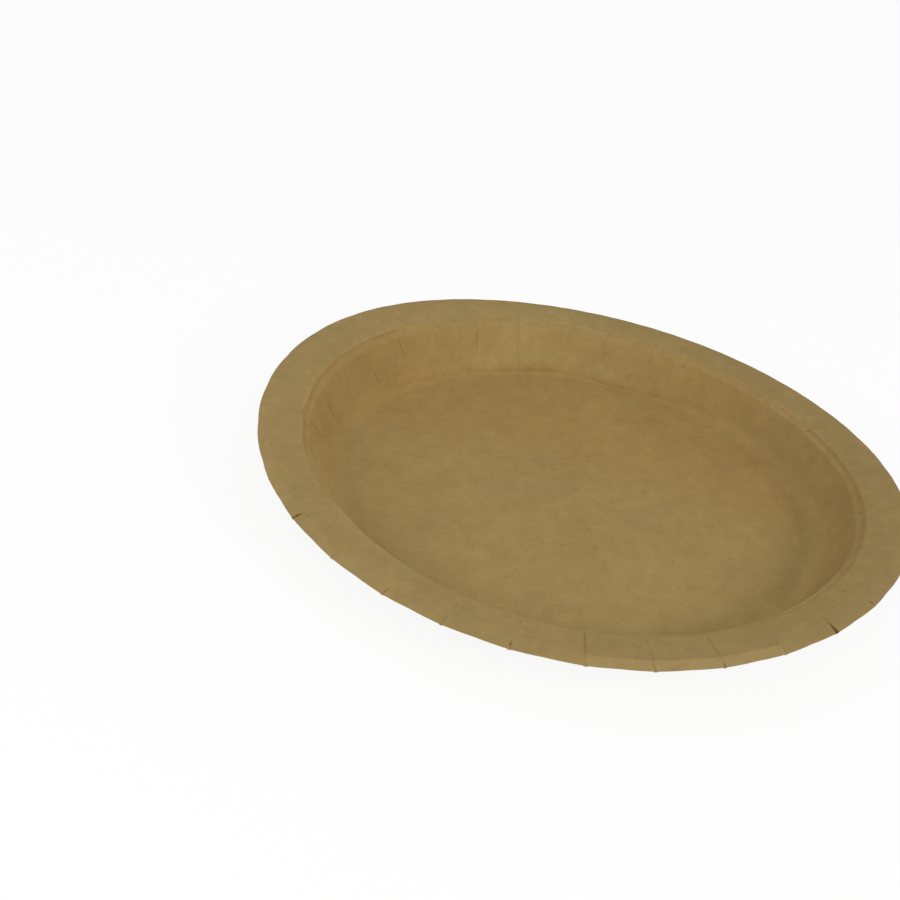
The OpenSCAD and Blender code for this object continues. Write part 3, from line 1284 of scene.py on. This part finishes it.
class Graph:
    """Short ways to add and join the nodes of one material or world.

    The numbers are those of a Mix node's inputs and output when it mixes colours.
    """

    mix_share, mix_colours, mix_result = 0, (6, 7), 2

    def __init__(self, owner: bpy.types.Material | bpy.types.World) -> None:
        """Starts an empty graph.

        Args:
            owner: the material or world that it belongs to.
        """
        owner.use_nodes = True
        self.tree = owner.node_tree
        self.tree.nodes.clear()

    def add(
        self, kind: str, inputs: dict[str | int, object] | None = None, **settings: object
    ) -> bpy.types.Node:
        """Adds a node.

        Args:
            kind: the node's type.
            inputs: a value or another node's output for each input that is set.
            settings: its own properties, such as a Math node's operation.

        Returns:
            The new node.
        """
        node = self.tree.nodes.new(kind)
        for key, value in settings.items():
            setattr(node, key, value)
        for key, value in (inputs or {}).items():
            if isinstance(value, Socket):
                self.tree.links.new(value, node.inputs[key])
            else:
                node.inputs[key].default_value = value
        return node

    def noise(
        self, vector: Socket, stretch: Pair, detail: float, rough: float = 0.5, turn: float = 0.0
    ) -> Socket:
        """Adds a noise pattern on the flat board.

        Args:
            vector: the board's flat coordinates, in metres.
            stretch: how many times the pattern repeats in a metre, along X and along Y.
            detail: its number of finer layers.
            rough: how strong those layers are.
            turn: degrees that the pattern is turned by.

        Returns:
            The pattern's value.
        """
        size, turned = (1 / stretch[0], 1 / stretch[1], 1), (0, 0, math.radians(turn))
        where = {"Vector": vector, "Rotation": turned, "Scale": size}
        place = self.add("ShaderNodeMapping", where, vector_type="TEXTURE").outputs["Vector"]
        pattern = {"Vector": place, "Scale": 1, "Detail": detail, "Roughness": rough}
        return self.add("ShaderNodeTexNoise", pattern).outputs["Fac"]

    def spread(self, value: Socket, low: float, high: float, to_low: float, to_high: float) -> Socket:
        """Maps a value from one range to another, held at its ends.

        Args:
            value: the value.
            low: start of its range.
            high: end of its range.
            to_low: what low becomes.
            to_high: what high becomes.

        Returns:
            The mapped value.
        """
        ends = {"From Min": low, "From Max": high, "To Min": to_low, "To Max": to_high}
        return self.add("ShaderNodeMapRange", {"Value": value, **ends}, clamp=True).outputs["Result"]

    def math(self, operation: str, a: Socket, b: Socket | float) -> Socket:
        """Adds a Math node on one value and a second value or number."""
        return self.add("ShaderNodeMath", {0: a, 1: b}, operation=operation).outputs[0]

    def attribute(self, name: str) -> Socket:
        """Value of one of the mesh's own shares."""
        return self.add("ShaderNodeAttribute", attribute_name=name).outputs["Fac"]

    def tinted(self, colour: Socket, factor: Socket) -> Socket:
        """Multiplies one colour by another."""
        return self.add("ShaderNodeVectorMath", {0: colour, 1: factor}, operation="MULTIPLY").outputs[0]

    def blend(self, share: Socket, first: Socket | Triple, second: Socket | Triple) -> Socket:
        """Mixes two colours.

        Args:
            share: 0 for the first colour and 1 for the second.
            first: the first colour.
            second: the second colour.

        Returns:
            The mix.
        """
        colours = (colour if isinstance(colour, Socket) else (*colour, 1) for colour in (first, second))
        inputs = {self.mix_share: share, **dict(zip(self.mix_colours, colours))}
        return self.add("ShaderNodeMix", inputs, data_type="RGBA").outputs[self.mix_result]

    def shader_mix(self, share: Socket, first: Socket, second: Socket) -> Socket:
        """Mixes two shaders: 0 gives the first and 1 the second."""
        return self.add("ShaderNodeMixShader", dict(enumerate((share, first, second)))).outputs[0]

    def end(self, kind: str, surface: Socket) -> None:
        """Ends the graph in an output node of a kind."""
        self.add(kind, {"Surface": surface})


@dataclass(frozen=True)
class Fibres:
    """One set of fibres: its stretch, turn in degrees, shift in metres and factor on the colour."""

    stretch: Pair
    turn: float
    shift: float
    factor: float


@dataclass(frozen=True)
class KraftBoard:
    """Uncoated brown kraft board: matt and mottled, with short fibres that lie mostly one way.

    The base colour takes the tints of the shades by their shares, then its mottle and fibres. Most tints are
    painted light and shade; the pale lip and the dark creases are partly so. A stretch is how many times a
    pattern repeats in a metre, along and across its turn. A detail is its number of finer layers, and where
    there is a second value, how strong they are.
    """

    name: str = "kraft_board"
    base: Triple = (0.319, 0.2250, 0.0860)
    # The folded lip's paler colour: partly its stretched fibres' own, partly painted light that the
    # turned-down lip catches.
    pale: Triple = (0.400, 0.285, 0.126)
    pale_share: float = 0.31
    # Painted warm bounce light: the board redder and less blue where the walls light it.
    bounce_warmth: Triple = (1.025, 0.94, 0.85)
    # Painted shade: the board a little darker and greyer where less light falls.
    painted_shade: Triple = (0.895, 0.89, 0.905)
    # Painted light: a paler board where the light falls short.
    glow: Triple = (1.10, 1.12, 1.12)
    # Painted shade in the foot's fold, reddish brown.
    fold: Triple = (0.85, 0.77, 0.68)
    # Painted light on the near mouth's bend, which faces away from the lamps.
    mouth_light: Triple = (1.13, 1.13, 1.13)
    # Painted shadow: a dark line along the small tucks inside the mouth.
    tuck_shadow: Triple = (0.895, 0.865, 0.82)
    # Painted highlight along the mouth's edge.
    glint: Triple = (1.11, 1.105, 1.09)
    plain: Triple = (1.0, 1.0, 1.0)
    # Darker creases: partly the crushed fibres' own colour, partly painted shade in the crease.
    crease: Triple = (0.39, 0.27, 0.04)
    crease_share: float = 0.56
    crease_grain: Pair = (900, 900)
    crease_gaps: tuple[float, float, float, float] = (0.35, 0.6, 0.55, 1.0)
    reddish: Triple = (1.0, 0.97, 0.95)
    greenish: Triple = (1.0, 1.02, 1.03)
    hue_stretch: Pair = (60, 75)
    hue_detail: Pair = (3, 0.65)
    middle: Pair = (0.3, 0.7)
    fibre_turn: float = 27
    fibres: tuple[Fibres, ...] = (
        Fibres((165, 310), 0, 0.0, 0.92),
        Fibres((190, 300), -55, 0.07, 0.93),
        Fibres((160, 340), 8, 0.13, 1.07),
        Fibres((200, 290), 50, 0.21, 1.06),
    )
    fibre_level: float = 0.5
    fibre_width: float = 0.045
    fibre_gaps: Pair = (0.52, 0.6)
    gap_stretch: Pair = (1.7, 1.2)
    gap_turn: float = 20
    mottle_turn: float = 85
    mottle: tuple[tuple[Pair, float, float], ...] = (
        ((26, 33), 1, 0.036),
        ((78, 97), 1, 0.036),
        ((158, 196), 2, 0.036),
        ((330, 410), 2, 0.016),
    )
    mottle_ends: Pair = (0.25, 0.75)
    roughness: float = 0.82
    rough_reach: float = 0.05
    rough_stretch: Pair = (150, 190)
    rough_detail: float = 2
    specular: float = 0.08
    streak_stretch: Pair = (300, 800)
    streak_detail: Pair = (2, 0.6)
    bump_strength: float = 0.25
    bump_height: float = 0.05 * MM
    bump_mottle: float = 0.6

    def tone(self, g: Graph, flat: Socket) -> Socket:
        """Adds the board's mottle and fibres.

        Args:
            g: the material's graph.
            flat: coordinates on the flat board, in metres.

        Returns:
            The factor on the board's colour.
        """
        parts = []
        for stretch, detail, reach in self.mottle:
            value = g.noise(flat, stretch, detail, turn=self.mottle_turn)
            parts.append(g.spread(value, *self.mottle_ends, 1 - reach, 1 + reach))
        for kind in self.fibres:
            parts.append(g.spread(self.fibre(g, flat, kind), 0.0, 1.0, 1.0, kind.factor))
        return reduce(lambda product, part: g.math("MULTIPLY", product, part), parts)

    def fibre(self, g: Graph, flat: Socket, kind: Fibres) -> Socket:
        """Adds short thin fibres: the level lines of one noise, shown where a second one is high.

        Args:
            g: the material's graph.
            flat: coordinates on the flat board, in metres.
            kind: the set of fibres.

        Returns:
            A share that is 1 on a fibre.
        """
        turn = self.fibre_turn + kind.turn
        moves = {0: flat, 1: (kind.shift, kind.shift, 0)}
        moved = g.add("ShaderNodeVectorMath", moves, operation="ADD").outputs[0]
        lines = g.noise(moved, kind.stretch, 1, turn=turn)
        off_line = g.math("ABSOLUTE", g.math("SUBTRACT", lines, self.fibre_level), 0.0)
        on_line = g.spread(off_line, 0.0, self.fibre_width, 1.0, 0.0)
        stretch = tuple(size * share for size, share in zip(kind.stretch, self.gap_stretch))
        there = g.noise(moved, stretch, 1, turn=turn + self.gap_turn)
        return g.math("MULTIPLY", on_line, g.spread(there, *self.fibre_gaps, 0.0, 1.0))

    def colour(self, g: Graph, flat: Socket) -> Socket:
        """Adds the board's colour with its tints of painted light and shade, its mottle, fibres and creases.

        Args:
            g: the material's graph.
            flat: coordinates on the flat board, in metres.

        Returns:
            The colour.
        """
        shares = {name: g.attribute(name) for name in PressedPlate.shades}
        colour = g.blend(g.math("MULTIPLY", shares["lip"], self.pale_share), self.base, self.pale)
        # These tints are painted light and shade: warm bounce light, shade, light, the fold's shade, the
        # mouth's light, tuck shadows and glints.
        for name in ("bounce_warmth", "painted_shade", "glow", "fold", "mouth_light", "tuck_shadow", "glint"):
            colour = g.tinted(colour, g.blend(shares[name], self.plain, getattr(self, name)))
        hue = g.noise(flat, self.hue_stretch, *self.hue_detail, turn=self.fibre_turn)
        hue_share = g.spread(hue, *self.middle, 0.0, 1.0)
        colour = g.tinted(colour, g.blend(hue_share, self.reddish, self.greenish))
        scaled = g.add("ShaderNodeVectorMath", {0: colour, "Scale": self.tone(g, flat)}, operation="SCALE")
        # Darkens the creases: partly their own colour, partly painted shade.
        broken = g.spread(g.noise(flat, self.crease_grain, 1), *self.crease_gaps)
        dark = g.math("MULTIPLY", g.math("MULTIPLY", shares["crease"], self.crease_share), broken)
        return g.tinted(scaled.outputs[0], g.blend(dark, self.plain, self.crease))

    def make(self) -> bpy.types.Material:
        """Builds the material.

        Returns:
            The new material.
        """
        material = bpy.data.materials.new(self.name)
        g = Graph(material)
        flat = g.add("ShaderNodeUVMap", uv_map="blank").outputs["UV"]
        mottle = g.noise(flat, self.rough_stretch, self.rough_detail)
        streak = g.noise(flat, self.streak_stretch, *self.streak_detail, turn=self.fibre_turn)
        relief = g.math("ADD", g.math("MULTIPLY", mottle, self.bump_mottle), streak)
        rise = {"Strength": self.bump_strength, "Distance": self.bump_height, "Height": relief}
        rough_ends = self.roughness - self.rough_reach, self.roughness + self.rough_reach
        looks = {
            "Base Color": self.colour(g, flat),
            "Specular IOR Level": self.specular,
            "Roughness": g.spread(mottle, *self.middle, *rough_ends),
            "Normal": g.add("ShaderNodeBump", rise).outputs["Normal"],
        }
        g.end("ShaderNodeOutputMaterial", g.add("ShaderNodeBsdfPrincipled", looks).outputs[0])
        return material


@dataclass(frozen=True)
class Lamp:
    """A soft round lamp that points at the plate's centre: angles in degrees, sizes in metres."""

    name: str
    azimuth: float
    elevation: float
    distance: float
    level: float

    def hang(self) -> bpy.types.Object:
        """Hangs the lamp.

        Returns:
            The lamp's object.
        """
        lamp = bpy.data.lights.new(self.name, "AREA")
        lamp.shape = "DISK"
        lamp.size = self.distance / 2
        lamp.energy = self.level * (math.pi * self.distance) ** 2
        a, e = math.radians(self.azimuth), math.radians(self.elevation)
        place = Vector((math.cos(e) * math.cos(a), math.cos(e) * math.sin(a), math.sin(e))) * self.distance
        holder = put_in_scene(self.name, lamp)
        turn = (-place).to_track_quat("-Z", "Y").to_matrix().to_4x4()
        holder.matrix_world = Matrix.Translation(place) @ turn
        return holder


@dataclass(frozen=True)
class Studio:
    """The pale floor, the even surroundings and two soft lamps."""

    floor_size: float = 6.0
    floor_white: float = 0.9
    floor_own_light: float = 0.9
    around: float = 0.59
    lamps: tuple[Lamp, ...] = (
        Lamp("lamp_left", -120, 30, 0.8, 0.30),
        Lamp("lamp_right", -30, 30, 2.0, 0.44),
    )

    def seen_directly(self, g: Graph) -> Socket:
        """Tells what the camera sees straight, by a mirror or through glass.

        Args:
            g: the graph.

        Returns:
            A share that is 1 for it.
        """
        path = g.add("ShaderNodeLightPath")
        both = g.math("MAXIMUM", path.outputs["Is Camera Ray"], path.outputs["Is Glossy Ray"])
        return g.math("MAXIMUM", both, path.outputs["Is Transmission Ray"])

    def make_floor(self) -> bpy.types.Object:
        """Builds the floor that keeps the plate's shadow.

        Returns:
            The floor's object.
        """
        mesh = bmesh.new()
        bmesh.ops.create_grid(mesh, x_segments=1, y_segments=1, size=self.floor_size / 2)
        data = bpy.data.meshes.new("studio_floor")
        mesh.to_mesh(data)
        mesh.free()
        material = bpy.data.materials.new("studio_floor")
        g = Graph(material)
        matt = g.add("ShaderNodeBsdfDiffuse", {"Color": (*(self.floor_white,) * 3, 1)})
        glow = g.add("ShaderNodeEmission", {"Strength": 1})
        share = g.math("MULTIPLY", self.seen_directly(g), self.floor_own_light)
        g.end("ShaderNodeOutputMaterial", g.shader_mix(share, matt.outputs[0], glow.outputs[0]))
        data.materials.append(material)
        return put_in_scene("studio_floor", data)

    def make_world(self) -> None:
        """Sets the even light from all round, which shows as white."""
        world = bpy.data.worlds.new("studio")
        bpy.context.scene.world = world
        g = Graph(world)
        light, white = (
            g.add("ShaderNodeBackground", {"Color": (1, 1, 1, 1), "Strength": strength})
            for strength in (self.around, 1)
        )
        mix = g.shader_mix(self.seen_directly(g), light.outputs[0], white.outputs[0])
        g.end("ShaderNodeOutputWorld", mix)


@dataclass(frozen=True)
class Viewpoint:
    """The camera's place and turn, in degrees and plate radii."""

    unit: float = 115 * MM
    aim_height: float = 17.63 * MM
    elevation: float = 31.09
    distance: float = 4.808
    yaw: float = -4.99
    pitch: float = -0.17
    roll: float = -13.39
    focal_px: float = 1550
    frame_px: float = 900
    sensor: float = 36
    clip: Pair = (0.01, 50)

    def make(self) -> bpy.types.Object:
        """Sets up the camera of the scene.

        Returns:
            The camera.
        """
        e = math.radians(self.elevation)
        back = Vector((0, -math.cos(e), math.sin(e)))
        forward = -back
        right = forward.cross(Vector((0, 0, 1))).normalized()
        axes = Matrix((right, forward.cross(right), forward))
        for degrees, axis in ((-self.roll, "Z"), (-self.yaw, "Y"), (self.pitch, "X")):
            axes = Matrix.Rotation(math.radians(degrees), 3, axis) @ axes
        x, y, z = axes[0], -axes[1], -axes[2]
        data = bpy.data.cameras.new("camera")
        data.sensor_width = self.sensor
        data.lens = self.sensor * self.focal_px / self.frame_px
        data.clip_start, data.clip_end = self.clip
        camera = put_in_scene("camera", data)
        place = back * self.distance * self.unit + Vector((0, 0, self.aim_height))
        camera.matrix_world = Matrix.Translation(place) @ Matrix((x, y, z)).transposed().to_4x4()
        bpy.context.scene.camera = camera
        return camera


def main() -> None:
    """Builds the dressed plate, its studio and its camera."""
    logging.basicConfig(level=logging.INFO, format="%(name)s: %(message)s")
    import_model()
    view = bpy.context.scene.view_settings
    view.view_transform = "Standard"

    plate = PressedPlate().make()
    plate.data.materials.append(KraftBoard().make())
    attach(plate, "root")
    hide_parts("plate")
    log.info("%s: %d faces", plate.name, len(plate.data.polygons))

    studio = Studio()
    studio.make_floor()
    studio.make_world()
    for lamp in studio.lamps:
        lamp.hang()
    Viewpoint().make()


if __name__ == "__main__":
    main()
